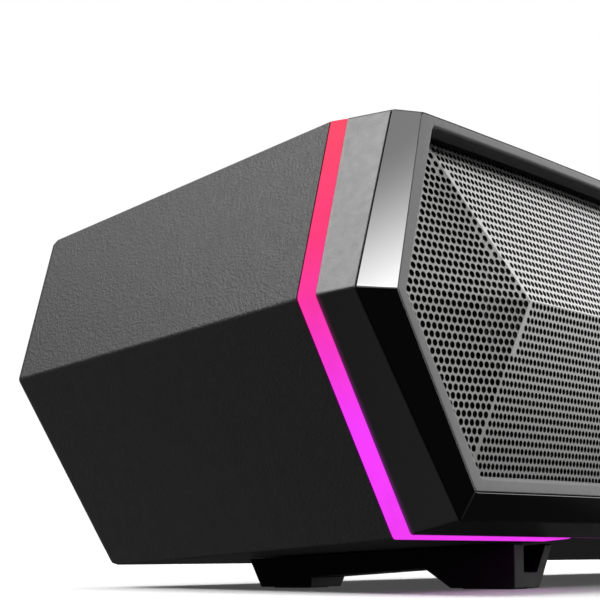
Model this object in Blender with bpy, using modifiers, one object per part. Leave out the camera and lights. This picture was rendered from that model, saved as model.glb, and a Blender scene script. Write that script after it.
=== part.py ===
"""Faceted desktop soundbar: a long six-sided speaker on two splayed feet.

The bar leans back on its feet, so its housing, front and inner parts are modelled square in body_frame,
which is tilted. The feet stand square on the floor. X runs along the bar, the front faces -Y, +Z is up.
Inside body_frame y = 0 is the seam where the rear housing meets the front, and z = 0 is its lower edge.
"""

import math
from collections import namedtuple

import bmesh
import bpy
from mathutils import Matrix, Vector

# Overall sizes, in metres
LENGTH = 0.400  # over the creases of the two ends
HEIGHT = 0.084  # of the housing at the seam
REAR_DEPTH = 0.0823  # from the seam to the back
FRONT_REACH = 0.025  # from the seam to the middle of the front face
FRONT_RADIUS = 1.925  # of the front face, which bows forward in plan
FOOT_HEIGHT = 0.01065  # from the floor to the seam's lower edge
TILT = math.radians(6.745)  # the bar leans back

# Six-sided sections: how far the edges stand back from the end creases, and their heights
CREASE_HEIGHT = 0.0442
TOP_SETBACK = 0.0182
BOTTOM_SETBACK = 0.0250
REAR_TOP_INSET = 0.0024
REAR_TOP_DROP = 0.0057
REAR_CREASE_INSET = 0.0071
REAR_BOTTOM_INSET = 0.0089
REAR_BOTTOM_RISE = 0.00385
GAP_TOP_INSET = 0.0004
GAP_TOP_DROP = 0.0015
GAP_CREASE_INSET = 0.0019
GAP_BOTTOM_INSET = 0.0001
GAP_BOTTOM_RISE = 0.0016
FRAME_TOP_INSET = 0.0069
FRAME_TOP_DROP = 0.0013
FRAME_CREASE_INSET = 0.0103
FRAME_BOTTOM_INSET = 0.0031
FRAME_BOTTOM_RISE = 0.0068
OPENING_TOP_INSET = 0.0107
OPENING_TOP_DROP = 0.0040
OPENING_CREASE_INSET = 0.0136
OPENING_BOTTOM_INSET = 0.0060
OPENING_BOTTOM_RISE = 0.01005

# Walls, edges and clearances
WALL = 0.0024
GAP = 0.0003  # between pieces that touch
EDGE_RADIUS = 0.0011
REAR_RADIUS = 0.0030
COLLAR_DRAFT = 0.115  # the front tapers in by this much for each unit forward
BEZEL_DEPTH = 0.0023  # of the bezel's upper edge behind the front face
FRAME_GAP = 0.00015  # between the front frame and the bezel that it is pressed into
REBATE = 0.0008  # wall left at the collar's front rim, where the frame's lip slides in
REBATE_DEPTH = 0.0045
LIP_DEPTH = 0.0055
LIP_WALL = 0.0012
PLATE = 0.0017  # thickness of the front frame
LIP_CHAMFER = 0.0006

# Light ring
RING_WIDTH = 0.00343
RING_THICKNESS = 0.0020
RING_ARM = 0.100  # how far its arms run in from the end crease
RING_TAPER = 0.010
RING_POINT = 0.0008  # width left at the tip of an arm
LED_THICKNESS = 0.0007
LED_WIDTH = 0.0026

# Grille: a hipped sheet with its ridge along the bar
RIDGE_HEIGHT = CREASE_HEIGHT + 0.0020
RIDGE_RISE = 0.0037  # in front of the frame's face
TOP_RECESS = 0.0042
BOTTOM_RECESS = 0.0046
END_RECESS = 0.0018
APEX_INSET = 0.0509  # from the end crease to the end of the ridge
SHEET = 0.0008
SKIRT_DEPTH = 0.0065
HIP_CURVE = 0.4  # how much the end facets steepen towards the ridge

# Baffle and drivers
BAFFLE_SETBACK = 0.0062822  # behind the front face where that ends
BAFFLE_THICKNESS = 0.0030
DRIVER_X = 0.118
DRIVER_Z = CREASE_HEIGHT - 0.0002
CONE_RADIUS = 0.0208
BASKET_RADIUS = CONE_RADIUS + 0.0042
DRIVER_FLANGE = BASKET_RADIUS + 0.0030
CONE_NECK = 0.0089
CONE_THICKNESS = 0.0007
CONE_DEPTH = 0.0062
MAGNET_RADIUS = 0.0170
MAGNET_TOP = -0.0163
MAGNET_DEPTH = 0.0115
POLE_RADIUS = 0.0067
COIL_INNER = 0.0073
COIL_OUTER = 0.0087
RADIATOR_RADIUS = 0.0180
RADIATOR_SURROUND = 0.0245
RADIATOR_FLANGE = 0.0275

# Electronics
BOARD_SIZE = (0.150, 0.046, 0.0016)
BOARD_Z = 0.0160
BOARD_REAR_GAP = 0.0006
PANEL_SIZE = (0.074, 0.0185, 0.0012)
PANEL_Z = 0.0222
SINK_SIZE = (0.046, 0.022, 0.016)
SINK_FINS = 7
SINK_BASE = 0.0024
SINK_FIN = 0.0014
CAPACITOR_RADIUS = 0.0050
CAPACITOR_HEIGHT = 0.0160

# Buttons
BUTTON_SIZE = (0.0110, 0.0070)
BUTTON_PITCH = 0.0160
BUTTON_COUNT = 5
BUTTON_PROUD = 0.0011
BUTTON_TRAVEL = 0.0006
BUTTON_FLANGE = 0.0012
BUTTON_Y = 0.0200
KEYBOARD_SIZE = (0.098, 0.013, 0.0012)
SWITCH_HEIGHT = 0.0014

# Feet
SPLAY = math.radians(28.5)
FOOT_X = 0.1189  # from the middle of the bar to the outer front corner of a foot
FOOT_FRONT = 0.0030  # behind the seam's lower edge
FOOT_LENGTH = 0.0516
FOOT_WIDTH = 0.0125
FOOT_DRAFT = 0.72  # its inner side leans out by this much for each unit up
FRONT_PAD_LENGTH = 0.0127
REAR_PAD_START = 0.0403
REAR_PAD_LENGTH = 0.0100
ARCH_FRONT = (0.0177, 0.00445)
ARCH_REAR = (0.0402, 0.00240)
FOOT_REAR_LEAN = 0.0022
PAD_THICKNESS = 0.0010
PAD_PROUD = 0.0002
PAD_INSET = 0.0018
POCKET_MARGIN = 0.0044
POCKET_FLOOR = 0.0038
POCKET_DEPTH = 0.0080

# Screws: head radius, head height, shank radius, length under the head
SCREW_HEAD = 0.0026
SCREW_HEAD_HEIGHT = 0.0015
SCREW_SHANK = 0.0012
SCREW_LENGTH = 0.0075
BOSS_RADIUS = 0.0034
POST_CLEARANCE = 0.0008  # between the baffle's posts and the walls
POST_INSET = WALL + BOSS_RADIUS + POST_CLEARANCE
POST_END = 0.024
BAFFLE_SCREW_X = 0.070
PANEL_SCREW_X = 0.0335
BOARD_SCREW_X = 0.070
KEYBOARD_SCREW_X = 0.0455
FOOT_SCREWS = (0.0215, 0.0340)

ROUND_STEPS = 24
SMALL_STEPS = 12

Section = namedtuple("Section", "top crease bottom")


# Scene


def clear_scene():
    for obj in list(bpy.data.objects):
        bpy.data.objects.remove(obj, do_unlink=True)


def make_collection(name):
    collection = bpy.data.collections.new(name)
    bpy.context.scene.collection.children.link(collection)
    return collection


def make_frame(name, parent, location=(0, 0, 0), tilt=0.0, turn=0.0):
    frame = bpy.data.objects.new(name, None)
    PARTS.objects.link(frame)
    frame.parent = parent
    frame.location = location
    frame.rotation_euler = (tilt, 0, turn)
    frame.empty_display_size = 0.01
    return frame


def make_material(name, color, roughness, metallic=0.0, emission=0.0):
    material = bpy.data.materials.new(name)
    material.use_nodes = True
    shader = material.node_tree.nodes["Principled BSDF"]
    shader.inputs["Base Color"].default_value = (*color, 1)
    shader.inputs["Roughness"].default_value = roughness
    shader.inputs["Metallic"].default_value = metallic
    if emission:
        shader.inputs["Emission Color"].default_value = (*color, 1)
        shader.inputs["Emission Strength"].default_value = emission
    material.diffuse_color = (*color, 1)
    return material


def add_object(name, mesh_data, parent, material, location=(0, 0, 0), collection=None):
    """An object from a bmesh, with its faces turned outwards."""
    bmesh.ops.recalc_face_normals(mesh_data, faces=mesh_data.faces)
    mesh = bpy.data.meshes.new(name)
    mesh_data.to_mesh(mesh)
    mesh_data.free()
    obj = bpy.data.objects.new(name, mesh)
    (collection or PARTS).objects.link(obj)
    obj.parent = parent
    obj.location = location
    if material:
        mesh.materials.append(material)
    return obj


def add_cutter(name, mesh_data, parent):
    obj = add_object(name, mesh_data, parent, None, collection=CUTTERS)
    obj.hide_render = True
    obj.display_type = "WIRE"
    return obj


def combine(obj, other, operation, overlapping=False):
    """A Boolean. The shapes inside other may overlap one another only where overlapping is set."""
    modifier = obj.modifiers.new(other.name, "BOOLEAN")
    modifier.operation = operation
    modifier.solver = "EXACT"
    modifier.use_self = overlapping
    modifier.object = other


def smooth(obj, angle=35.0):
    obj.data.shade_smooth()
    obj.data.set_sharp_from_angle(angle=math.radians(angle))


# Shapes


def box(target, size, centre):
    """A box added to the bmesh target."""
    matrix = Matrix.Translation(centre) @ Matrix.Diagonal((*size, 1))
    bmesh.ops.create_cube(target, size=1, matrix=matrix)


def cylinder(target, radius, low, high, steps=SMALL_STEPS):
    """A cylinder added to target, from the point low to the point high."""
    low, high = Vector(low), Vector(high)
    along = high - low
    turn = along.to_track_quat("Z", "Y").to_matrix().to_4x4()
    bmesh.ops.create_cone(
        target,
        cap_ends=True,
        segments=steps,
        radius1=radius,
        radius2=radius,
        depth=along.length,
        matrix=Matrix.Translation((low + high) / 2) @ turn,
    )


def prism(outline, direction):
    """A bmesh of a flat outline, swept along direction."""
    target = bmesh.new()
    face = target.faces.new([target.verts.new(point) for point in outline])
    swept = bmesh.ops.extrude_face_region(target, geom=[face])["geom"]
    moved = [item for item in swept if isinstance(item, bmesh.types.BMVert)]
    bmesh.ops.translate(target, verts=moved, vec=direction)
    return target


def loft(rings, cyclic):
    """A bmesh through rings of equal length: a closed band, or a solid capped at both ends."""
    target = bmesh.new()
    rows = [[target.verts.new(point) for point in ring] for ring in rings]
    pairs = list(zip(rows, rows[1:]))
    if cyclic:
        pairs.append((rows[-1], rows[0]))
    else:
        target.faces.new(rows[0])
        target.faces.new(rows[-1])
    count = len(rows[0])
    for first, second in pairs:
        for i in range(count):
            j = (i + 1) % count
            target.faces.new((first[i], first[j], second[j], second[i]))
    return target


def turned(name, profile, parent, material, steps=ROUND_STEPS, location=(0, 0, 0)):
    """A piece turned about its Z axis from (radius, height) points, which run down its outer side."""
    on_axis = profile[0][0] == 0
    mesh = bpy.data.meshes.new(name)
    edges = [(i, i + 1) for i in range(len(profile) - 1)]
    if not on_axis:
        edges.append((len(profile) - 1, 0))
    mesh.from_pydata([(r, 0, z) for r, z in profile], edges, [])
    mesh.materials.append(material)
    obj = bpy.data.objects.new(name, mesh)
    PARTS.objects.link(obj)
    obj.parent = parent
    obj.location = location
    screw = obj.modifiers.new("turn", "SCREW")
    screw.steps = steps
    screw.render_steps = steps
    screw.use_merge_vertices = True
    screw.merge_threshold = 0.00001
    screw.use_smooth_shade = True
    return obj


# Six-sided outlines


def mix(first, second, share):
    return first + (second - first) * share


def blend_sections(first, second, share):
    return Section(*(mix(a, b, share) for a, b in zip(first, second)))


def make_section(top_inset, top_drop, crease_inset, bottom_inset, bottom_rise):
    """Right half of a section, set in from the one at the seam."""
    half = LENGTH / 2
    return Section(
        Vector((half - TOP_SETBACK - top_inset, HEIGHT - top_drop)),
        Vector((half - crease_inset, CREASE_HEIGHT)),
        Vector((half - BOTTOM_SETBACK - bottom_inset, bottom_rise)),
    )


def inward(first, second):
    """Unit normal into the section of the side that runs down from first to second."""
    along = (second - first).normalized()
    return Vector((along.y, -along.x)) if along.y < 0 else Vector((-along.y, along.x))


def inset(section, distance):
    """The section with every side moved in by distance."""
    sides = (
        Vector((0, -1)),
        inward(section.top, section.crease),
        inward(section.crease, section.bottom),
        Vector((0, 1)),
    )
    moved = []
    for corner, first, second in zip(section, sides, sides[1:]):
        moved.append(corner + (first + second) * (distance / (1 + first.dot(second))))
    return Section(*moved)


def fillet(before, corner, after, radius, steps):
    """Points of the arc that rounds a corner."""
    first = (before - corner).normalized()
    second = (after - corner).normalized()
    half_angle = first.angle(second) / 2
    reach = radius / math.tan(half_angle)
    centre = corner + (first + second).normalized() * (radius / math.sin(half_angle))
    start = corner + first * reach - centre
    end = corner + second * reach - centre
    return [centre + start.slerp(end, i / steps).normalized() * radius for i in range(steps + 1)]


def outline(section, stations, radius=EDGE_RADIUS, steps=2):
    """Closed outline (x, z): rounded corners, with extra points at stations along top and bottom."""
    right = list(section)
    left = [Vector((-point.x, point.y)) for point in reversed(right)]
    top_left, corners = left[-1], right + left[:-1]
    corners = [top_left] + corners
    points = []
    for i, corner in enumerate(corners):
        after = corners[(i + 1) % 6]
        points += fillet(corners[i - 1], corner, after, radius, steps)
        if i == 0:
            points += [Vector((x, section.top.y)) for x in stations]
        if i == 3:
            points += [Vector((x, section.bottom.y)) for x in reversed(stations)]
    return points


def ring_of(section, depth, stations, radius=EDGE_RADIUS):
    """An outline in 3D, where depth is a number or a function of x."""
    depth_at = depth if callable(depth) else lambda x: depth
    return [Vector((p.x, depth_at(p.x), p.y)) for p in outline(section, stations, radius)]


SEAM_SECTION = make_section(0, 0, 0, 0, 0)
REAR_SECTION = make_section(
    REAR_TOP_INSET, REAR_TOP_DROP, REAR_CREASE_INSET, REAR_BOTTOM_INSET, REAR_BOTTOM_RISE
)
COLLAR_SECTION = inset(SEAM_SECTION, COLLAR_DRAFT * RING_WIDTH)
GAP_SECTION = make_section(
    GAP_TOP_INSET, GAP_TOP_DROP, GAP_CREASE_INSET, GAP_BOTTOM_INSET, GAP_BOTTOM_RISE
)
FRAME_SECTION = make_section(
    FRAME_TOP_INSET, FRAME_TOP_DROP, FRAME_CREASE_INSET, FRAME_BOTTOM_INSET, FRAME_BOTTOM_RISE
)
OPENING_SECTION = make_section(
    OPENING_TOP_INSET, OPENING_TOP_DROP, OPENING_CREASE_INSET, OPENING_BOTTOM_INSET, OPENING_BOTTOM_RISE
)
TIP_X = LENGTH / 2 - RING_ARM


def front_y(x):
    """The bowed front face."""
    return FRONT_RADIUS - math.sqrt(FRONT_RADIUS**2 - x**2) - FRONT_REACH


BAFFLE_FRONT = front_y(LENGTH / 2) + BAFFLE_SETBACK


def plane_y(at, first, second, third):
    """Depth of the plane through three points at the point (x, z) of an outline."""
    normal = (second - first).cross(third - first)
    return first.y - (normal.x * (at.x - first.x) + normal.z * (at.y - first.z)) / normal.y


def make_bezel_depths():
    """How far the bezel's edge lies behind the front face along its top, at its creases and along its bottom.

    The last two are what makes its end facets flat, because a bent facet would show in its gloss.
    """
    edge, inner = GAP_SECTION, [Vector((p.x, front_y(p.x), p.y)) for p in FRAME_SECTION]
    top = Vector((edge.top.x, front_y(edge.top.x) + BEZEL_DEPTH, edge.top.y))
    crease_y = plane_y(edge.crease, top, inner[0], inner[1])
    crease = Vector((edge.crease.x, crease_y, edge.crease.y))
    bottom_y = plane_y(edge.bottom, crease, inner[1], inner[2])
    return Section(BEZEL_DEPTH, crease_y - front_y(edge.crease.x), bottom_y - front_y(edge.bottom.x))


def edge_ring(section, shift, stations):
    """An outline that follows the bezel's rear edge, shift behind it."""
    points = []
    for p in outline(section, stations):
        far = "top" if p.y > CREASE_HEIGHT else "bottom"
        share = (p.y - CREASE_HEIGHT) / (getattr(GAP_SECTION, far).y - CREASE_HEIGHT)
        depth = mix(BEZEL_DEPTHS.crease, getattr(BEZEL_DEPTHS, far), share)
        points.append(Vector((p.x, front_y(p.x) + depth + shift, p.y)))
    return points


def seam_share(x):
    """0 along the light ring's arms and ends, 1 in the middle where the ring has ended."""
    return min(1.0, max(0.0, (TIP_X + RING_TAPER - abs(x)) / RING_TAPER))


def housing_front(x):
    """The housing's front rim, which meets the front where there is no light ring between them."""
    return mix(GAP, -RING_WIDTH, seam_share(x))


def make_stations():
    """Places along the bar where the bowed outlines bend, with the ring's tips among them."""
    reach = (LENGTH / 2 - BOTTOM_SETBACK) * 0.93
    even = [reach * i / 6 for i in range(-6, 7)]
    tips = [sign * x for sign in (-1, 1) for x in (TIP_X, TIP_X + RING_TAPER)]
    spaced = [x for x in even if min(abs(x - tip) for tip in tips) > RING_TAPER / 2]
    return sorted(spaced + tips)


# Housing


def make_housing(stations):
    inner_back = REAR_DEPTH - WALL
    rings = [
        ring_of(inset(REAR_SECTION, WALL), inner_back, stations),
        ring_of(inset(SEAM_SECTION, WALL), housing_front, stations),
        ring_of(SEAM_SECTION, housing_front, stations),
    ]
    for point in rings[2]:
        point.z += math.copysign(COLLAR_DRAFT, CREASE_HEIGHT - point.z) * max(0.0, -point.y)
    for angle in (0, 30, 60, 90):
        turn = math.radians(angle)
        depth = REAR_DEPTH - REAR_RADIUS * (1 - math.sin(turn))
        section = blend_sections(SEAM_SECTION, REAR_SECTION, depth / REAR_DEPTH)
        rings.append(ring_of(inset(section, REAR_RADIUS * (1 - math.cos(turn))), depth, stations))
    housing = add_object("rear_housing", loft(rings, cyclic=False), BODY, SATIN_BLACK)

    combine(housing, make_bosses(), "UNION", overlapping=True)
    combine(housing, make_housing_cuts(), "DIFFERENCE", overlapping=True)
    combine(housing, make_deck_cuts(), "DIFFERENCE")
    for side in (-1, 1):
        combine(housing, make_belly_holes(side), "DIFFERENCE")
    smooth(housing, 30)


def post_places():
    """Centres (x, z) of the posts that the baffle screws go into."""
    return [
        (side * BAFFLE_SCREW_X, z)
        for z in (POST_INSET, HEIGHT - POST_INSET)
        for side in (-1, 1)
    ]


def standoff_places():
    return [(side * BOARD_SCREW_X, board_centre_y()) for side in (-1, 1)]


def board_centre_y():
    return REAR_DEPTH - WALL - BOARD_REAR_GAP - BOARD_SIZE[1] / 2


def make_bosses():
    """Posts for the baffle with a rib each, standoffs for the board, and bosses behind the port panel."""
    bosses = bmesh.new()
    front = BAFFLE_FRONT + BAFFLE_THICKNESS + GAP
    for x, z in post_places():
        cylinder(bosses, BOSS_RADIUS, (x, front, z), (x, POST_END, z))
        wall_z = WALL / 2 if z < HEIGHT / 2 else HEIGHT - REAR_TOP_DROP * POST_END / REAR_DEPTH - WALL / 2
        box(bosses, (WALL, POST_END - 0.002, abs(z - wall_z)), (x, POST_END / 2, (z + wall_z) / 2))
    for x, y in standoff_places():
        low = REAR_BOTTOM_RISE * y / REAR_DEPTH + WALL / 2
        cylinder(bosses, BOSS_RADIUS, (x, y, low), (x, y, BOARD_Z - GAP))
    for side in (-1, 1):
        x = side * PANEL_SCREW_X
        low, high = REAR_DEPTH - SCREW_LENGTH, REAR_DEPTH - PANEL_SIZE[2] - GAP
        cylinder(bosses, BOSS_RADIUS, (x, low, PANEL_Z), (x, high, PANEL_Z))
    return add_cutter("housing_bosses", bosses, BODY)


def make_housing_cuts():
    """Blind screw holes in the posts and standoffs, and the opening for the port panel."""
    cuts = bmesh.new()
    hole = SCREW_SHANK + GAP
    front = BAFFLE_FRONT + BAFFLE_THICKNESS
    for x, z in post_places():
        cylinder(cuts, hole, (x, front - 0.001, z), (x, front + SCREW_LENGTH, z))
    for x, y in standoff_places():
        cylinder(cuts, hole, (x, y, BOARD_Z - SCREW_LENGTH), (x, y, BOARD_Z + 0.001))
    for side in (-1, 1):
        hole_x = side * PANEL_SCREW_X
        low, high = REAR_DEPTH - SCREW_LENGTH * 0.9, REAR_DEPTH
        cylinder(cuts, hole, (hole_x, low, PANEL_Z), (hole_x, high, PANEL_Z))
    width, height, thickness = PANEL_SIZE
    recess = (width + 2 * GAP, 2 * (thickness + GAP), height + 2 * GAP)
    box(cuts, recess, (0, REAR_DEPTH, PANEL_Z))
    return add_cutter("housing_cuts", cuts, BODY)


def button_places():
    first = -(BUTTON_COUNT - 1) / 2
    return [(first + i) * BUTTON_PITCH for i in range(BUTTON_COUNT)]


def make_deck_cuts():
    """Openings in the top wall for the buttons."""
    cuts = bmesh.new()
    width, length = BUTTON_SIZE
    for x in button_places():
        box(cuts, (width + 2 * GAP, length + 2 * GAP, 4 * WALL), (x, 0, 0))
    return add_cutter("deck_cuts", cuts, DECK)


def make_belly_holes(side):
    """Holes in the bottom wall for the screws of one foot."""
    cuts = bmesh.new()
    for along in FOOT_SCREWS:
        x, y = foot_point(side, along, FOOT_WIDTH * 0.62)
        cylinder(cuts, SCREW_SHANK + GAP, (x, y, -0.002), (x, y, 0.012))
    return add_cutter("belly_holes_" + side_name(side), cuts, BELLY)


def make_collar(stations):
    rear = -RING_WIDTH - GAP
    rings = [
        ring_of(COLLAR_SECTION, rear, stations),
        edge_ring(GAP_SECTION, GAP, stations),
        edge_ring(inset(GAP_SECTION, REBATE), GAP, stations),
        edge_ring(inset(GAP_SECTION, REBATE), GAP + REBATE_DEPTH, stations),
        edge_ring(inset(GAP_SECTION, WALL), GAP + REBATE_DEPTH, stations),
        ring_of(inset(COLLAR_SECTION, WALL), rear, stations),
    ]
    smooth(add_object("front_collar", loft(rings, cyclic=True), BODY, COLLAR_GREY), 30)


def end_points(side, section, start_x):
    """The part of an outline beyond start_x at one end of the bar, in order from top to bottom or back."""
    stations = [-start_x, start_x]
    if start_x < TIP_X + RING_TAPER:
        stations = [-TIP_X - RING_TAPER, *stations, TIP_X + RING_TAPER]
    points = outline(section, stations)
    chosen = [i for i, p in enumerate(points) if side * p.x > start_x - GAP]
    start = next(i for i in chosen if (i - 1) % len(points) not in chosen)
    return [points[(start + i) % len(points)] for i in range(len(chosen))]


def make_light_ring(side):
    """A band around one end, with an arm along the top and the bottom that ends in a point."""
    start_x = TIP_X + RING_TAPER * (RING_POINT + GAP) / (RING_WIDTH + GAP)
    rear = end_points(side, SEAM_SECTION, start_x)
    front = end_points(side, COLLAR_SECTION, start_x)
    inner = end_points(side, inset(COLLAR_SECTION, RING_THICKNESS), start_x)
    bands = []
    for rear_p, front_p, inner_p in zip(rear, front, inner):
        depth = mix(0, -RING_WIDTH - GAP, seam_share(rear_p.x))
        outer = mix(rear_p, front_p, -depth / RING_WIDTH)
        bands.append(
            [
                Vector((outer.x, depth, outer.y)),
                Vector((front_p.x, -RING_WIDTH, front_p.y)),
                Vector((inner_p.x, -RING_WIDTH, inner_p.y)),
                Vector((inner_p.x, depth, inner_p.y)),
            ]
        )
    ring = add_object("light_ring_" + side_name(side), loft(bands, cyclic=False), BODY, LIGHT)
    smooth(ring, 30)


def make_led_strip(side):
    """The flexible board of lamps that lights one ring from inside."""
    start_x = TIP_X + RING_TAPER
    outer_section = inset(COLLAR_SECTION, RING_THICKNESS + GAP)
    outer = end_points(side, outer_section, start_x)
    inner = end_points(side, inset(outer_section, LED_THICKNESS), start_x)
    front = -RING_WIDTH + (RING_WIDTH - LED_WIDTH) / 2
    rear = front + LED_WIDTH
    bands = [
        [
            Vector((outer_p.x, rear, outer_p.y)),
            Vector((outer_p.x, front, outer_p.y)),
            Vector((inner_p.x, front, inner_p.y)),
            Vector((inner_p.x, rear, inner_p.y)),
        ]
        for outer_p, inner_p in zip(outer, inner)
    ]
    add_object("led_strip_" + side_name(side), loft(bands, cyclic=False), BODY, BOARD_GREEN)


# Front


def make_bezel(stations):
    rings = [
        edge_ring(GAP_SECTION, 0, stations),
        ring_of(FRAME_SECTION, front_y, stations),
        ring_of(inset(FRAME_SECTION, GAP), lambda x: front_y(x) + PLATE + GAP, stations),
        edge_ring(inset(GAP_SECTION, REBATE * 0.6), 0, stations),
    ]
    smooth(add_object("bezel", loft(rings, cyclic=True), BODY, GLOSS_BLACK), 30)


def make_front_frame(stations):
    lip_outer = inset(OPENING_SECTION, -LIP_WALL)
    rings = [
        ring_of(inset(FRAME_SECTION, FRAME_GAP), front_y, stations),
        ring_of(inset(OPENING_SECTION, -LIP_CHAMFER), front_y, stations),
        ring_of(OPENING_SECTION, lambda x: front_y(x) + LIP_CHAMFER, stations),
        ring_of(OPENING_SECTION, lambda x: front_y(x) + LIP_DEPTH, stations),
        ring_of(lip_outer, lambda x: front_y(x) + LIP_DEPTH, stations),
        ring_of(lip_outer, lambda x: front_y(x) + PLATE, stations),
        ring_of(inset(FRAME_SECTION, FRAME_GAP + GAP), lambda x: front_y(x) + PLATE, stations),
    ]
    smooth(add_object("front_frame", loft(rings, cyclic=True), BODY, FRAME_GREY), 30)


def half_width(section, z):
    """Half the section's width at height z."""
    end = section.top if z > section.crease.y else section.bottom
    return mix(section.crease.x, end.x, (z - section.crease.y) / (end.y - section.crease.y))


def hip_relief(z, edge):
    """How far the sheet stands in front of the frame's face where its hip crosses height z."""
    top, bottom = edge.top.y, edge.bottom.y
    if z > RIDGE_HEIGHT:
        return mix(RIDGE_RISE, -TOP_RECESS, (z - RIDGE_HEIGHT) / (top - RIDGE_HEIGHT))
    return mix(RIDGE_RISE, -BOTTOM_RECESS, (RIDGE_HEIGHT - z) / (RIDGE_HEIGHT - bottom))


def end_relief(z, edge):
    """The same at the sheet's ends, which run deeper towards its corners."""
    if z > CREASE_HEIGHT:
        share = (z - CREASE_HEIGHT) / (edge.top.y - CREASE_HEIGHT)
        return mix(-END_RECESS, -TOP_RECESS, share**2)
    share = (CREASE_HEIGHT - z) / (CREASE_HEIGHT - edge.bottom.y)
    return mix(-END_RECESS, -BOTTOM_RECESS, share**2)


def grille_row(z, edge, stations):
    """One row of points across the sheet, from its left end to its right end."""
    apex = LENGTH / 2 - APEX_INSET
    corner = edge.top if z > RIDGE_HEIGHT else edge.bottom
    share = (z - RIDGE_HEIGHT) / (corner.y - RIDGE_HEIGHT)
    hip = mix(apex, corner.x - 0.0015, share)
    end = half_width(edge, z)
    high, low = hip_relief(z, edge), end_relief(z, edge)
    facet = []
    for step in range(4):
        t = step / 4
        climb = (1 - HIP_CURVE) * t + HIP_CURVE * t * t
        x = -mix(end, hip, t)
        facet.append(Vector((x, front_y(x) - mix(low, high, climb), z)))
    inside = [Vector((x, front_y(x) - high, z)) for x in middle_stations(hip, stations)]
    mirrored = [Vector((-p.x, p.y, p.z)) for p in reversed(facet)]
    return facet + inside + mirrored


def middle_stations(hip, stations):
    count = len(stations)
    return [mix(-hip, hip, i / (count - 1)) for i in range(count)]


def make_grille(stations):
    edge = inset(OPENING_SECTION, GAP)
    below = [mix(edge.bottom.y, RIDGE_HEIGHT, i / 4) for i in range(4)]
    above = [mix(RIDGE_HEIGHT, edge.top.y, i / 4) for i in range(5)]
    rows = [grille_row(z, edge, stations) for z in below + above]
    sheet = bmesh.new()
    grid = [[sheet.verts.new(point) for point in row] for row in rows]
    for lower, upper in zip(grid, grid[1:]):
        for i in range(len(lower) - 1):
            sheet.faces.new((lower[i], lower[i + 1], upper[i + 1], upper[i]))
    rim = grid[0] + [row[-1] for row in grid[1:-1]] + grid[-1][::-1] + [row[0] for row in grid[-2:0:-1]]
    skirt = [sheet.verts.new((v.co.x, front_y(v.co.x) + SKIRT_DEPTH, v.co.z)) for v in rim]
    for i in range(len(rim)):
        j = (i + 1) % len(rim)
        sheet.faces.new((rim[i], rim[j], skirt[j], skirt[i]))
    grille = add_object("grille", sheet, BODY, GRILLE_STEEL)
    solidify = grille.modifiers.new("thickness", "SOLIDIFY")
    solidify.thickness = SHEET
    solidify.offset = -1
    solidify.use_even_offset = True
    smooth(grille, 12)


def make_baffle():
    section = inset(GAP_SECTION, WALL + GAP)
    rings = [
        ring_of(section, BAFFLE_FRONT, []),
        ring_of(section, BAFFLE_FRONT + BAFFLE_THICKNESS, []),
    ]
    baffle = add_object("baffle", loft(rings, cyclic=False), BODY, DARK_PLASTIC)
    cuts = bmesh.new()
    through = (BAFFLE_FRONT - 0.002, BAFFLE_FRONT + BAFFLE_THICKNESS + 0.002)
    for side in (-1, 1):
        x = side * DRIVER_X
        low, high = (x, through[0], DRIVER_Z), (x, through[1], DRIVER_Z)
        cylinder(cuts, BASKET_RADIUS + 2 * GAP, low, high, ROUND_STEPS)
    low, high = (0, through[0], DRIVER_Z), (0, through[1], DRIVER_Z)
    cylinder(cuts, RADIATOR_RADIUS + 2 * GAP, low, high, ROUND_STEPS)
    for x, z in post_places():
        cylinder(cuts, SCREW_SHANK + GAP, (x, through[0], z), (x, through[1], z))
    combine(baffle, add_cutter("baffle_cuts", cuts, BODY), "DIFFERENCE")


# Drivers, turned about an axis that points out of the front


def half_roll(inner, outer, height, thickness, base, steps=5):
    """Closed profile of a half-round roll between two radii."""
    middle, reach = (inner + outer) / 2, (outer - inner) / 2
    angles = [math.pi * i / steps for i in range(steps + 1)]
    above = [(middle - reach * math.cos(a), base + thickness + height * math.sin(a)) for a in angles]
    below = [(middle - reach * math.cos(a), base + height * math.sin(a)) for a in reversed(angles)]
    return above + below


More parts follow.
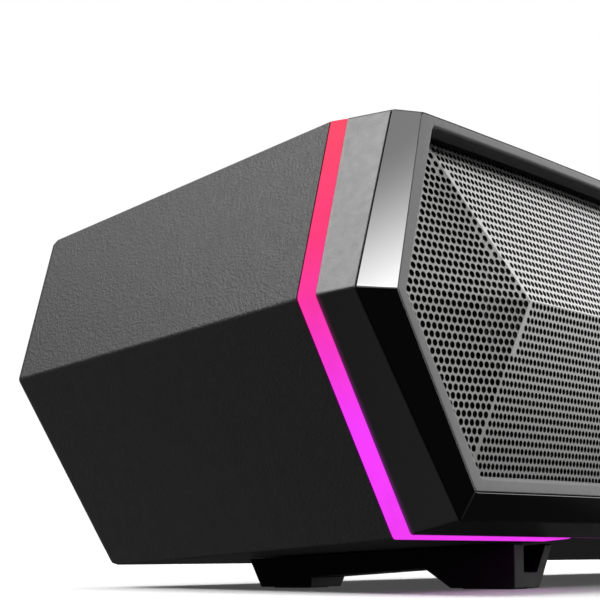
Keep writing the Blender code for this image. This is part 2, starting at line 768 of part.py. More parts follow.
def make_driver(side):
    name = side_name(side)
    frame = make_frame(
        "driver_frame_" + name, BODY, (side * DRIVER_X, BAFFLE_FRONT, DRIVER_Z), tilt=math.pi / 2
    )
    flange_low, flange_high = GAP, 0.0019
    wall = 0.0011
    seat = CONE_RADIUS + 0.0036
    pole_top = MAGNET_TOP + 0.0010
    magnet_low = MAGNET_TOP - MAGNET_DEPTH
    basket = [
        (seat, flange_high),
        (DRIVER_FLANGE, flange_high),
        (DRIVER_FLANGE, flange_low),
        (BASKET_RADIUS, flange_low),
        (BASKET_RADIUS, -0.0050),
        (MAGNET_RADIUS, MAGNET_TOP + GAP),
        (COIL_OUTER + 0.0022, MAGNET_TOP + GAP),
        (COIL_OUTER + 0.0022, MAGNET_TOP + GAP + wall),
        (MAGNET_RADIUS - wall, MAGNET_TOP + GAP + wall),
        (CONE_RADIUS + 0.0024, -0.0050),
        (CONE_RADIUS + 0.0024, 0),
        (seat, 0),
    ]
    turned("driver_basket_" + name, basket, frame, DARK_STEEL)
    magnet = [
        (0, pole_top),
        (POLE_RADIUS, pole_top),
        (POLE_RADIUS, magnet_low + 0.0030),
        (COIL_OUTER + 0.0005, magnet_low + 0.0030),
        (COIL_OUTER + 0.0005, MAGNET_TOP),
        (MAGNET_RADIUS, MAGNET_TOP),
        (MAGNET_RADIUS, magnet_low),
        (0, magnet_low),
    ]
    turned("driver_magnet_" + name, magnet, frame, DARK_STEEL)
    cone_high = 0.0012
    cone_low = cone_high - CONE_DEPTH
    cone = [
        (CONE_NECK, cone_low),
        (CONE_RADIUS * 0.62, mix(cone_low, cone_high, 0.42)),
        (CONE_RADIUS, cone_high),
        (CONE_RADIUS, cone_high - CONE_THICKNESS),
        (CONE_RADIUS * 0.63, mix(cone_low, cone_high, 0.42) - CONE_THICKNESS),
        (CONE_NECK, cone_low - 2 * CONE_THICKNESS),
    ]
    turned("driver_cone_" + name, cone, frame, CONE_BLACK)
    cap_low = cone_low + 0.0014
    cap = [(0, cap_low + 0.0026)]
    cap += [
        (CONE_NECK * math.sin(a), cap_low + 0.0026 * math.cos(a))
        for a in (math.radians(d) for d in (25, 50, 75, 90))
    ]
    cap += [(CONE_NECK, cap_low - 0.0007), (0, cap_low - 0.0007)]
    turned("driver_cap_" + name, cap, frame, CONE_BLACK)
    coil_top = cone_low - 2 * CONE_THICKNESS - GAP
    coil = [
        (COIL_INNER, coil_top),
        (COIL_OUTER, coil_top),
        (COIL_OUTER, MAGNET_TOP - 0.0050),
        (COIL_INNER, MAGNET_TOP - 0.0050),
    ]
    turned("voice_coil_" + name, coil, frame, COPPER)
    roll = half_roll(CONE_RADIUS + GAP, seat - GAP, 0.0016, 0.0006, GAP)
    turned("driver_surround_" + name, roll, frame, RUBBER)


def make_radiator():
    """The passive radiator in the middle: a weighted disc on a rubber roll."""
    frame = make_frame("radiator_frame", BODY, (0, BAFFLE_FRONT, DRIVER_Z), tilt=math.pi / 2)
    disc = [
        (0, 0.0024),
        (RADIATOR_RADIUS * 0.6, 0.0024),
        (RADIATOR_RADIUS * 0.7, 0.0016),
        (RADIATOR_RADIUS - GAP, 0.0016),
        (RADIATOR_RADIUS - GAP, 0.0006),
        (0, 0.0006),
    ]
    turned("radiator_disc", disc, frame, CONE_BLACK)
    roll = half_roll(RADIATOR_RADIUS, RADIATOR_SURROUND, 0.0026, 0.0007, GAP)
    corner = len(roll) // 2
    flange = [(RADIATOR_FLANGE, GAP + 0.0007), (RADIATOR_FLANGE, GAP)]
    turned("radiator_surround", roll[:corner] + flange + roll[corner:], frame, RUBBER)


# Electronics


def make_board():
    width, depth, thickness = BOARD_SIZE
    y = board_centre_y()
    board = bmesh.new()
    box(board, BOARD_SIZE, (0, y, BOARD_Z + thickness / 2))
    obj = add_object("main_board", board, BODY, BOARD_GREEN)
    holes = bmesh.new()
    for x, hole_y in standoff_places():
        low, high = (x, hole_y, BOARD_Z - 0.001), (x, hole_y, BOARD_Z + 2 * thickness)
        cylinder(holes, SCREW_SHANK + GAP, low, high)
    combine(obj, add_cutter("board_holes", holes, BODY), "DIFFERENCE")

    top = BOARD_Z + thickness + GAP
    chip_size = (0.014, 0.012, 0.0016)
    chip_y = y - depth / 2 + SINK_SIZE[1] / 2 + 0.002
    chip = bmesh.new()
    box(chip, chip_size, (0, chip_y, top + chip_size[2] / 2))
    add_object("amplifier_chip", chip, BODY, DARK_PLASTIC)
    make_heat_sink((0, chip_y, top + chip_size[2] + GAP))
    for side in (-1, 1):
        profile = [
            (0, CAPACITOR_HEIGHT),
            (CAPACITOR_RADIUS * 0.86, CAPACITOR_HEIGHT),
            (CAPACITOR_RADIUS, CAPACITOR_HEIGHT * 0.94),
            (CAPACITOR_RADIUS, 0),
            (0, 0),
        ]
        place = (side * SINK_SIZE[0] * 0.85, chip_y, top)
        turned("capacitor_" + side_name(side), profile, BODY, CAN, 16, place)


def make_heat_sink(place):
    """A comb of fins on a base plate."""
    width, depth, height = SINK_SIZE
    pitch = (width - SINK_FIN) / (SINK_FINS - 1)
    comb = [(-width / 2, 0, 0), (width / 2, 0, 0)]
    for i in reversed(range(SINK_FINS)):
        left = -width / 2 + i * pitch
        comb += [(left + SINK_FIN, 0, height), (left, 0, height)]
        if i:
            comb += [(left, 0, SINK_BASE), (left - pitch + SINK_FIN, 0, SINK_BASE)]
    fins = prism([Vector(point) - Vector((0, depth / 2, 0)) for point in comb], (0, depth, 0))
    add_object("heat_sink", fins, BODY, ALUMINIUM, place)


SOCKETS = (
    # name, x of its centre, width, height, depth into the housing
    ("power_socket", -0.0200, 0.0100, 0.0110, 0.0130),
    ("usb_socket", 0.0010, 0.0094, 0.0040, 0.0090),
    ("audio_socket", 0.0200, 0.0080, 0.0064, 0.0120),
)
SOCKET_PROUD = 0.0004


def socket_centre(height):
    return BOARD_Z + BOARD_SIZE[2] + GAP + height / 2


def make_ports():
    width, height, thickness = PANEL_SIZE
    panel = bmesh.new()
    rear = REAR_DEPTH
    box(panel, (width, thickness, height), (0, rear - thickness / 2, PANEL_Z))
    obj = add_object("port_panel", panel, BODY, DARK_PLASTIC)
    cuts = bmesh.new()
    for _, x, socket_width, socket_height, _ in SOCKETS:
        size = (socket_width + 2 * GAP, 0.02, socket_height + 2 * GAP)
        box(cuts, size, (x, rear, socket_centre(socket_height)))
    for side in (-1, 1):
        x = side * PANEL_SCREW_X
        cylinder(cuts, SCREW_SHANK + GAP, (x, rear - 0.01, PANEL_Z), (x, rear + 0.01, PANEL_Z))
    combine(obj, add_cutter("panel_cuts", cuts, BODY), "DIFFERENCE")
    combine(bpy.data.objects["rear_housing"], make_socket_way(), "DIFFERENCE")
    for name, x, socket_width, socket_height, depth in SOCKETS:
        make_socket(name, x, socket_width, socket_height, depth)


def make_socket_way():
    """The opening in the back wall, behind the panel, that the sockets pass through."""
    way = bmesh.new()
    low_x = SOCKETS[0][1] - SOCKETS[0][2]
    high_x = SOCKETS[-1][1] + SOCKETS[-1][2]
    size = (high_x - low_x, 3 * WALL, PANEL_SIZE[1] - 0.004)
    box(way, size, ((low_x + high_x) / 2, REAR_DEPTH - WALL, PANEL_Z))
    return add_cutter("socket_way", way, BODY)


def make_socket(name, x, width, height, depth):
    rear = REAR_DEPTH + SOCKET_PROUD
    z = socket_centre(height)
    shell = bmesh.new()
    box(shell, (width, depth, height), (x, rear - depth / 2, z))
    material = ALUMINIUM if name == "usb_socket" else DARK_PLASTIC
    obj = add_object(name, shell, BODY, material)
    bore = bmesh.new()
    if name == "usb_socket":
        box(bore, (width - 0.0018, depth, height - 0.0014), (x, rear, z))
    elif name == "power_socket":
        cylinder(bore, 0.0032, (x, rear - depth * 0.75, z), (x, rear + 0.001, z), 16)
    else:
        cylinder(bore, 0.0018, (x, rear - depth * 0.75, z), (x, rear + 0.001, z))
    combine(obj, add_cutter(name + "_bore", bore, BODY), "DIFFERENCE")
    if name == "power_socket":
        pin = bmesh.new()
        cylinder(pin, 0.0010, (x, rear - depth * 0.85, z), (x, rear - 0.001, z))
        combine(obj, add_cutter("power_pin", pin, BODY), "UNION")


# Buttons


BUTTON_NAMES = ("button_power", "button_volume_down", "button_source", "button_volume_up", "button_light")


def keyboard_top():
    """Height, in the deck's frame, of the switches' tops under the resting buttons."""
    return -WALL - BUTTON_FLANGE - 2 * GAP - BUTTON_TRAVEL


def make_buttons():
    width, length = BUTTON_SIZE
    for name, x in zip(BUTTON_NAMES, button_places()):
        key = bmesh.new()
        low = -WALL - GAP - BUTTON_FLANGE
        box(key, (width, length, BUTTON_PROUD - low), (0, 0, (BUTTON_PROUD + low) / 2))
        obj = add_object(name, key, DECK, BUTTON_BLACK, (x, 0, 0))
        flange = bmesh.new()
        size = (width + 4 * GAP, length + 4 * GAP, BUTTON_FLANGE)
        box(flange, size, (x, 0, low + BUTTON_FLANGE / 2))
        combine(obj, add_cutter(name + "_flange", flange, DECK), "UNION")
        bevel = obj.modifiers.new("soft edges", "BEVEL")
        bevel.width = 0.00035
        bevel.segments = 2
        bevel.limit_method = "ANGLE"

    width, length, thickness = KEYBOARD_SIZE
    top = keyboard_top() - SWITCH_HEIGHT
    board = bmesh.new()
    box(board, KEYBOARD_SIZE, (0, 0, top - thickness / 2))
    obj = add_object("button_board", board, DECK, BOARD_GREEN)
    switches = bmesh.new()
    for x in button_places():
        cylinder(switches, 0.0017, (x, 0, top - thickness / 2), (x, 0, keyboard_top()))
    combine(obj, add_cutter("switches", switches, DECK), "UNION")
    holes = bmesh.new()
    for side in (-1, 1):
        x = side * KEYBOARD_SCREW_X
        cylinder(holes, SCREW_SHANK + GAP, (x, 0, top - 2 * thickness), (x, 0, top + thickness))
    combine(obj, add_cutter("button_board_holes", holes, DECK), "DIFFERENCE")

    housing = bpy.data.objects["rear_housing"]
    bosses = bmesh.new()
    pilots = bmesh.new()
    for side in (-1, 1):
        x = side * KEYBOARD_SCREW_X
        cylinder(bosses, 0.0026, (x, 0, top + GAP), (x, 0, -WALL / 2))
        cylinder(pilots, SCREW_SHANK + GAP, (x, 0, top - GAP), (x, 0, -WALL - 0.0002))
    combine(housing, add_cutter("button_bosses", bosses, DECK), "UNION")
    combine(housing, add_cutter("button_pilots", pilots, DECK), "DIFFERENCE")


# Feet


def side_name(side):
    return "left" if side < 0 else "right"


def foot_point(side, along, inward_by):
    """Plan position of a point on a foot: along runs back from its front, inward_by from its outer side."""
    x = FOOT_X + along * math.tan(SPLAY) - inward_by
    return side * x, FOOT_FRONT + along


def foot_profile():
    """Side view of a foot, as (along, height). It is taller than the foot, whose top is cut to the housing."""
    high = FOOT_HEIGHT * 1.6
    return [
        (0, PAD_PROUD),
        (FRONT_PAD_LENGTH, PAD_PROUD),
        ARCH_FRONT,
        ARCH_REAR,
        (REAR_PAD_START, PAD_PROUD),
        (REAR_PAD_START + REAR_PAD_LENGTH, PAD_PROUD),
        (FOOT_LENGTH + FOOT_REAR_LEAN * 0.5, FOOT_HEIGHT * 0.6),
        (FOOT_LENGTH + FOOT_REAR_LEAN, high),
        (0, high),
    ]


def make_foot(side):
    """A bridge on two pads: splayed in plan, with its inner side leaning out towards the housing."""
    name = side_name(side)
    outer, inner = [], []
    for along, height in foot_profile():
        width = FOOT_WIDTH + FOOT_DRAFT * height
        outer.append(Vector((*foot_point(side, along, 0), height)))
        inner.append(Vector((*foot_point(side, along, width), height)))
    foot = add_object("foot_" + name, loft([outer, inner], cyclic=False), FLOOR, FOOT_BLACK)

    above = bmesh.new()
    room = 0.05
    box(above, (LENGTH, 4 * room, room), (0, room, room / 2 - GAP))
    combine(foot, add_cutter("foot_top_" + name, above, BELLY), "DIFFERENCE")

    pocket = make_pocket(side)
    combine(foot, add_cutter("foot_pocket_" + name, pocket, FLOOR), "DIFFERENCE")

    holes = bmesh.new()
    for along in FOOT_SCREWS:
        x, y = foot_point(side, along, FOOT_WIDTH * 0.62)
        cylinder(holes, SCREW_SHANK + GAP, (x, y, -0.012), (x, y, 0.004))
        cylinder(holes, SCREW_HEAD + GAP, (x, y, -0.012), (x, y, head_low()))
    combine(foot, add_cutter("foot_holes_" + name, holes, BELLY), "DIFFERENCE", overlapping=True)


def head_low():
    """Height in the underside's frame of the seat under a foot screw's head."""
    return -0.0028


def make_pocket(side):
    """The hollow in a foot's front face, with the face's own taper."""
    high = FOOT_HEIGHT * 1.2
    points = []
    for height, left in ((POCKET_FLOOR, True), (high, True), (high, False), (POCKET_FLOOR, False)):
        width = FOOT_WIDTH + FOOT_DRAFT * height
        across = POCKET_MARGIN if left else width - POCKET_MARGIN
        points.append(Vector((*foot_point(side, -0.001, across), height)))
    return prism(points, (0, POCKET_DEPTH + 0.001, 0))


def make_pads(side):
    """Rubber pads let into the two ends of a foot, a little proud of it."""
    spans = (
        ("front", PAD_INSET, FRONT_PAD_LENGTH - PAD_INSET),
        ("rear", REAR_PAD_START + PAD_INSET, REAR_PAD_START + REAR_PAD_LENGTH - PAD_INSET),
    )
    foot = bpy.data.objects["foot_" + side_name(side)]
    for place, start, end in spans:
        name = "pad_" + place + "_" + side_name(side)
        pad = pad_outline(side, start, end, 0)
        add_object(name, prism(pad, (0, 0, PAD_THICKNESS)), FLOOR, RUBBER)
        pocket = [point - Vector((0, 0, PAD_THICKNESS)) for point in pad_outline(side, start, end, GAP)]
        recess = prism(pocket, (0, 0, 2 * PAD_THICKNESS + GAP))
        combine(foot, add_cutter(name + "_recess", recess, FLOOR), "DIFFERENCE")


def pad_outline(side, start, end, spare):
    start, end = start - spare, end + spare
    low, high = PAD_INSET - spare, FOOT_WIDTH - PAD_INSET + spare
    corners = ((start, low), (end, low), (end, high), (start, high))
    return [Vector((*foot_point(side, along, across), 0)) for along, across in corners]


# Screws


def screw_profile():
    """Pan head over a plain shank, from the top of the head down."""
    return [
        (0, SCREW_HEAD_HEIGHT),
        (SCREW_HEAD * 0.75, SCREW_HEAD_HEIGHT),
        (SCREW_HEAD, SCREW_HEAD_HEIGHT * 0.45),
        (SCREW_HEAD, 0),
        (SCREW_SHANK, 0),
        (SCREW_SHANK, -SCREW_LENGTH + 0.001),
        (0, -SCREW_LENGTH + 0.001),
    ]


def make_screw(name, parent, location, tilt, length=SCREW_LENGTH):
    """A screw whose head points along the parent's Z axis, turned about X by tilt."""
    profile = [(r, z if z >= 0 else z * length / SCREW_LENGTH) for r, z in screw_profile()]
    screw = turned(name, profile, parent, SCREW_STEEL, SMALL_STEPS, location)
    screw.rotation_euler = (tilt, 0, 0)


def make_screws():
    front, back, down = math.pi / 2, -math.pi / 2, math.pi
    for (x, z), place in zip(post_places(), ("low_left", "low_right", "high_left", "high_right")):
        make_screw("screw_baffle_" + place, BODY, (x, BAFFLE_FRONT - GAP, z), front)
    for (x, y), side in zip(standoff_places(), (-1, 1)):
        top = BOARD_Z + BOARD_SIZE[2] + GAP
        make_screw("screw_board_" + side_name(side), BODY, (x, y, top), 0)
    for side in (-1, 1):
        x = side * PANEL_SCREW_X
        make_screw("screw_panel_" + side_name(side), BODY, (x, REAR_DEPTH + GAP, PANEL_Z), back, 0.0065)
        x = side * KEYBOARD_SCREW_X
        low = keyboard_top() - SWITCH_HEIGHT - KEYBOARD_SIZE[2] - GAP
        make_screw("screw_buttons_" + side_name(side), DECK, (x, 0, low), down, 0.0042)
        for along, place in zip(FOOT_SCREWS, ("front", "rear")):
            x, y = foot_point(side, along, FOOT_WIDTH * 0.62)
            location = (x, y, head_low() - GAP)
            make_screw("screw_foot_" + place + "_" + side_name(side), BELLY, location, down, 0.0085)


# Build

clear_scene()
PARTS = make_collection("desktop_soundbar")
CUTTERS = make_collection("cutters")
CUTTERS.hide_render = True

SATIN_BLACK = make_material("satin_black", (0.030, 0.030, 0.032), 0.55)
COLLAR_GREY = make_material("collar_grey", (0.055, 0.055, 0.058), 0.42)
GLOSS_BLACK = make_material("gloss_black", (0.012, 0.012, 0.016), 0.08)
FRAME_GREY = make_material("frame_grey", (0.120, 0.118, 0.120), 0.45)
GRILLE_STEEL = make_material("grille_steel", (0.42, 0.42, 0.42), 0.38, metallic=0.9)
LIGHT = make_material("light", (1.0, 0.05, 0.45), 0.4, emission=4.0)
FOOT_BLACK = make_material("foot_black", (0.020, 0.020, 0.021), 0.6)
RUBBER = make_material("rubber", (0.018, 0.018, 0.018), 0.85)
DARK_PLASTIC = make_material("dark_plastic", (0.022, 0.022, 0.024), 0.6)
DARK_STEEL = make_material("dark_steel", (0.060, 0.060, 0.064), 0.45, metallic=0.8)
CONE_BLACK = make_material("cone_black", (0.020, 0.020, 0.020), 0.75)
COPPER = make_material("copper", (0.55, 0.25, 0.12), 0.35, metallic=1.0)
BOARD_GREEN = make_material("board_green", (0.010, 0.075, 0.035), 0.5)
ALUMINIUM = make_material("aluminium", (0.55, 0.56, 0.57), 0.35, metallic=1.0)
CAN = make_material("can", (0.10, 0.11, 0.15), 0.35)
BUTTON_BLACK = make_material("button_black", (0.028, 0.028, 0.030), 0.6)
SCREW_STEEL = make_material("screw_steel", (0.10, 0.10, 0.11), 0.35, metallic=1.0)


def depth_in_room(y, z):
    """Y of a point of the tilted body, once the body leans back."""
    return y * math.cos(TILT) + z * math.sin(TILT)


rear_most = depth_in_room(REAR_DEPTH, REAR_SECTION.top.y - REAR_RADIUS)
front_most = depth_in_room(-FRONT_REACH, FRAME_SECTION.bottom.y)
FLOOR = make_frame("floor_frame", None, (0, -(rear_most + front_most) / 2, 0))
BODY = make_frame("body_frame", FLOOR, (0, 0, FOOT_HEIGHT), tilt=-TILT)
deck_slope = math.atan2(REAR_TOP_DROP, REAR_DEPTH)
belly_slope = math.atan2(REAR_BOTTOM_RISE, REAR_DEPTH)
deck_height = HEIGHT - REAR_TOP_DROP * BUTTON_Y / REAR_DEPTH
DECK = make_frame("deck_frame", BODY, (0, BUTTON_Y, deck_height), tilt=-deck_slope)
BELLY = make_frame("belly_frame", BODY, tilt=belly_slope)

BEZEL_DEPTHS = make_bezel_depths()
STATIONS = make_stations()
make_housing(STATIONS)
make_collar(STATIONS)
for end in (-1, 1):
    make_light_ring(end)
    make_led_strip(end)
make_bezel(STATIONS)
make_front_frame(STATIONS)
make_grille(STATIONS)
make_baffle()
for end in (-1, 1):
    make_driver(end)
make_radiator()
make_board()
make_ports()
make_buttons()
for end in (-1, 1):
    make_foot(end)
    make_pads(end)
make_screws()
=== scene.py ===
import math

import bpy
import numpy as np
from mathutils import Matrix, Vector


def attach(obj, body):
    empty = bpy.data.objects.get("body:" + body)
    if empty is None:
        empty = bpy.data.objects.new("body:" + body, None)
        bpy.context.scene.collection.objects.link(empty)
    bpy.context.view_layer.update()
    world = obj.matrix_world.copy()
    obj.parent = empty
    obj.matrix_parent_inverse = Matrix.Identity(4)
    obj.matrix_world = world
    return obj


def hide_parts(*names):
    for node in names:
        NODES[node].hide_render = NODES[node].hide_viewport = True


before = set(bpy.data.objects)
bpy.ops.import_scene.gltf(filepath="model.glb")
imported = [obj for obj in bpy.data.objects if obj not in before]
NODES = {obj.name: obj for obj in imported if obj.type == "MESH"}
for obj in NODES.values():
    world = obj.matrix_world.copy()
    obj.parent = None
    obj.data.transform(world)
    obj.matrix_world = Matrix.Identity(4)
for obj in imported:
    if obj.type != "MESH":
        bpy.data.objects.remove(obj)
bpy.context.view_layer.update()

# Sizes of the solids in metres, in the axes of the leaning bar: X along it, -Y out of its front, +Z up.
# y = 0 is the seam behind the light ring, and z = 0 is the seam's lower edge.
FRONT_REACH, FRONT_RADIUS = 0.025, 1.925  # of the bowed front face
FOOT_HEIGHT, TILT = 0.01065, math.radians(6.745)
SEAM_BACK = 0.0332731  # the seam's lower edge, in front of the middle of the whole bar
RING_WIDTH = 0.00343

# The opening for the grille: (half its width, height) at its three levels
OPEN_TOP = (0.1711, 0.0800)
OPEN_CREASE = (0.1864, 0.0442)
OPEN_BOTTOM = (0.1690, 0.01005)

# The grille's form: a ridge along the bar, and four folds from its ends to the corners
APEX = 0.1491  # from the middle of the bar to the end of the ridge
RIDGE_HEIGHT, RIDGE_RISE = 0.0462, 0.0037
TOP_RECESS, BOTTOM_RECESS, END_RECESS = 0.0042, 0.0046, 0.0018
HIP_CURVE = 0.4  # how much the end facets steepen towards the ridge
SKIRT_DEPTH = 0.0065

BODY = Matrix.Translation((0, -SEAM_BACK, FOOT_HEIGHT)) @ Matrix.Rotation(-TILT, 4, "X")
FORWARD = BODY.to_3x3() @ Vector((0, -1, 0))


# Materials


class Mat:
    """A Principled material and short ways to add to it."""

    def __init__(self, name, color, roughness, metallic=0.0, **sockets):
        self.material = bpy.data.materials.new(name)
        self.material.use_nodes = True
        self.tree = self.material.node_tree
        self.bsdf = self.tree.nodes["Principled BSDF"]
        self.bsdf.inputs["Base Color"].default_value = (*color, 1)
        self.bsdf.inputs["Roughness"].default_value = roughness
        self.bsdf.inputs["Metallic"].default_value = metallic
        for socket, value in sockets.items():
            self.bsdf.inputs[socket.replace("_", " ")].default_value = value
        self.coords = None
        self.normal = None

    def node(self, kind, **values):
        made = self.tree.nodes.new(kind)
        for name, value in values.items():
            if name in made.inputs:
                made.inputs[name].default_value = value
            else:
                setattr(made, name, value)
        return made

    def link(self, out, into):
        self.tree.links.new(out, into)

    def place(self):
        if self.coords is None:
            self.coords = self.node("ShaderNodeTexCoord").outputs["Object"]
        return self.coords

    def noise(self, scale, detail=3.0, rough=0.55, stretch=None):
        made = self.node("ShaderNodeTexNoise", Scale=scale, Detail=detail, Roughness=rough)
        source = self.place()
        if stretch:
            mapping = self.node("ShaderNodeMapping")
            mapping.inputs["Scale"].default_value = stretch
            self.link(source, mapping.inputs["Vector"])
            source = mapping.outputs["Vector"]
        self.link(source, made.inputs["Vector"])
        return made.outputs["Fac"]

    def cells(self, scale, feature="F1"):
        made = self.node("ShaderNodeTexVoronoi", Scale=scale, feature=feature)
        self.link(self.place(), made.inputs["Vector"])
        return made.outputs["Distance"]

    def ramp(self, source, stops):
        made = self.node("ShaderNodeValToRGB")
        ramp = made.color_ramp
        while len(ramp.elements) < len(stops):
            ramp.elements.new(0.5)
        for element, (at, color) in zip(ramp.elements, stops):
            element.position = at
            element.color = (*color, 1)
        self.link(source, made.inputs["Fac"])
        return made.outputs["Color"]

    def ranged(self, source, low, high, to_low, to_high):
        made = self.node("ShaderNodeMapRange")
        for name, value in zip(("From Min", "From Max", "To Min", "To Max"), (low, high, to_low, to_high)):
            made.inputs[name].default_value = value
        self.link(source, made.inputs["Value"])
        return made.outputs["Result"]

    def color(self, source, low, high, spread=(0.3, 0.7)):
        self.link(self.ramp(source, [(spread[0], low), (spread[1], high)]), self.bsdf.inputs["Base Color"])
        return self

    def roughness(self, source, low, high, spread=(0.3, 0.7)):
        self.link(self.ranged(source, *spread, low, high), self.bsdf.inputs["Roughness"])
        return self

    def bump(self, source, distance, strength=1.0):
        made = self.node("ShaderNodeBump", Distance=distance, Strength=strength)
        self.link(source, made.inputs["Height"])
        if self.normal is not None:
            self.link(self.normal, made.inputs["Normal"])
        self.normal = made.outputs["Normal"]
        self.link(self.normal, self.bsdf.inputs["Normal"])
        return self


def grained_plastic(name, base, roughness, grain, depth, spread=0.05, **sockets):
    """Moulded plastic: a fine spark-eroded grain, and a little unevenness in colour and gloss."""
    mat = Mat(name, base, roughness, **sockets)
    low = tuple(c * (1 - spread) for c in base)
    high = tuple(c * (1 + spread) for c in base)
    mat.color(mat.noise(grain / 4, 3), low, high)
    mat.roughness(mat.noise(grain / 6, 3), roughness - 0.03, roughness + 0.04)
    mat.bump(mat.noise(grain, 2.5, 0.6), depth)
    return mat


def set_material(names, mat, bevel=0.0, segments=2, angle=28):
    for name in names:
        obj = NODES[name]
        obj.data.materials.clear()
        obj.data.materials.append(mat.material)
        weld = obj.modifiers.new("weld", "WELD")
        weld.merge_threshold = 0.000001
        obj.data.shade_smooth()
        if bevel:
            edge = obj.modifiers.new("edge", "BEVEL")
            edge.width = bevel
            edge.segments = segments
            edge.limit_method = "ANGLE"
            edge.angle_limit = math.radians(angle)
            edge.use_clamp_overlap = True
        flat = obj.modifiers.new("flat_facets", "WEIGHTED_NORMAL")
        flat.weight = 100
        flat.keep_sharp = True


housing = grained_plastic("housing_plastic", (0.020, 0.020, 0.0205), 0.52, 2300, 0.00011)
housing.bump(housing.cells(1500, "SMOOTH_F1"), 0.00009, 0.8)
collar = grained_plastic("collar_plastic", (0.018, 0.018, 0.0185), 0.40, 3200, 0.000025)
collar.bsdf.inputs["Specular IOR Level"].default_value = 0.66
frame_paint = grained_plastic("frame_paint", (0.192, 0.190, 0.190), 0.42, 3000, 0.00001)
foot_plastic = grained_plastic("foot_plastic", (0.0075, 0.0072, 0.0072), 0.50, 2200, 0.00004)
button_plastic = grained_plastic("button_plastic", (0.030, 0.030, 0.032), 0.60, 3000, 0.00003)
panel_plastic = grained_plastic("panel_plastic", (0.016, 0.016, 0.017), 0.62, 2400, 0.00003)
inner_plastic = grained_plastic("inner_plastic", (0.004, 0.004, 0.0042), 0.75, 2000, 0.00003)
inner_plastic.bsdf.inputs["Specular IOR Level"].default_value = 0.15

rubber = grained_plastic("rubber", (0.014, 0.014, 0.014), 0.85, 1800, 0.00004, 0.20)
cone_paper = grained_plastic("cone_paper", (0.016, 0.016, 0.016), 0.80, 2800, 0.00006, 0.25)

gloss = Mat("gloss_black", (0.0012, 0.0012, 0.0016), 0.05, Coat_Weight=1.0, Coat_Roughness=0.03)
gloss.bsdf.inputs["Specular IOR Level"].default_value = 0.8
gloss.roughness(gloss.noise(260, 3), 0.04, 0.07)

grille_metal = Mat("grille_metal", (0.36, 0.36, 0.355), 0.25, metallic=0.95)
grille_metal.color(grille_metal.noise(700, 3), (0.34, 0.34, 0.335), (0.38, 0.38, 0.373))
grille_metal.roughness(grille_metal.noise(900, 3), 0.22, 0.28)
grille_metal.bump(grille_metal.noise(5000, 2), 0.000012)

# painted shade: the holes' inner walls get a near-black material instead of the grille's metal, standing in
# for the shade inside the holes
hole_wall_painted_shade = grained_plastic("grille_hole_wall", (0.005, 0.005, 0.005), 0.6, 4000, 0.00001)
hole_wall_painted_shade.bsdf.inputs["Specular IOR Level"].default_value = 0.12

steel = Mat("dark_steel", (0.055, 0.055, 0.060), 0.42, metallic=0.8)
steel.roughness(steel.noise(500, 3), 0.36, 0.50)
steel.bump(steel.noise(2500, 2), 0.00002)

screw_steel = Mat("screw_steel", (0.09, 0.09, 0.095), 0.34, metallic=1.0)
screw_steel.roughness(screw_steel.noise(1500, 3), 0.28, 0.46)
screw_steel.bump(screw_steel.noise(6000, 2), 0.00001)

copper = Mat("copper_wire", (0.50, 0.20, 0.09), 0.35, metallic=1.0)
copper.bump(copper.noise(900, 1, stretch=(0.1, 1.0, 6.0)), 0.00004)

aluminium = Mat("aluminium", (0.52, 0.53, 0.54), 0.36, metallic=1.0)
aluminium.roughness(aluminium.noise(300, 4, stretch=(0.05, 1.0, 1.0)), 0.28, 0.46)
aluminium.bump(aluminium.noise(1200, 3, stretch=(0.05, 1.0, 1.0)), 0.00001)

board = Mat("board_mask", (0.008, 0.060, 0.028), 0.45, Coat_Weight=0.4)
board.color(board.cells(260), (0.006, 0.050, 0.022), (0.012, 0.085, 0.038), (0.2, 0.6))
board.bump(board.cells(500), 0.00004)

sleeve = Mat("capacitor_sleeve", (0.03, 0.035, 0.06), 0.35, Coat_Weight=0.3)
sleeve.roughness(sleeve.noise(300, 2), 0.28, 0.45)


# The strip's light between two heights in metres, from the bottom up: magenta, pink at the crease, coral
GLOW_LOW, GLOW_HIGH = 0.0105, 0.0945
PAINTED_GLOW_FALL = 2.5  # power by which the glow painted on the plastic beside the strip falls off
GLOW = (
    (0.00, (0.88, 0.046, 0.90)),
    (0.25, (0.90, 0.048, 0.98)),
    (0.40, (0.92, 0.042, 0.62)),
    (0.53, (0.96, 0.041, 0.35)),
    (0.68, (0.98, 0.048, 0.20)),
    (1.00, (0.99, 0.078, 0.140)),
)


def glow_color(mat):
    """The strip's colour at each height."""
    split = mat.node("ShaderNodeSeparateXYZ")
    mat.link(mat.place(), split.inputs["Vector"])
    return mat.ramp(mat.ranged(split.outputs["Z"], GLOW_LOW, GLOW_HIGH, 0.0, 1.0), GLOW)


def light_material():
    """A diffuser lit from inside."""
    mat = Mat("light_diffuser", (0.01, 0.002, 0.005), 0.55)
    mat.link(glow_color(mat), mat.bsdf.inputs["Emission Color"])
    streaks = mat.ranged(mat.noise(220, 2), 0.3, 0.7, 0.98, 1.06)
    mat.link(streaks, mat.bsdf.inputs["Emission Strength"])
    mat.bsdf.inputs["Specular IOR Level"].default_value = 0.0
    return mat


def add_painted_glow(mat, reach, strength):
    """Painted glow: emission painted on the plastic beside the strip, standing in for the strip's light
    falling on it, and fading over reach.
    """
    along = mat.node("ShaderNodeVectorMath", operation="DOT_PRODUCT")
    mat.link(mat.place(), along.inputs[0])
    along.inputs[1].default_value = FORWARD
    edge = RING_WIDTH + FORWARD.dot(BODY.translation)
    near = mat.ranged(along.outputs["Value"], edge, edge + reach, 1.0, 0.0)
    fade = mat.node("ShaderNodeMath", operation="POWER")
    mat.link(near, fade.inputs[0])
    fade.inputs[1].default_value = PAINTED_GLOW_FALL
    level = mat.ranged(fade.outputs["Value"], 0.0, 1.0, 0.0, strength)
    mat.link(glow_color(mat), mat.bsdf.inputs["Emission Color"])
    mat.link(level, mat.bsdf.inputs["Emission Strength"])


light = light_material()
# painted glow: the collar next to the light strip emits the strip's colours, fading away from it
add_painted_glow(collar, 0.0016, 0.30)

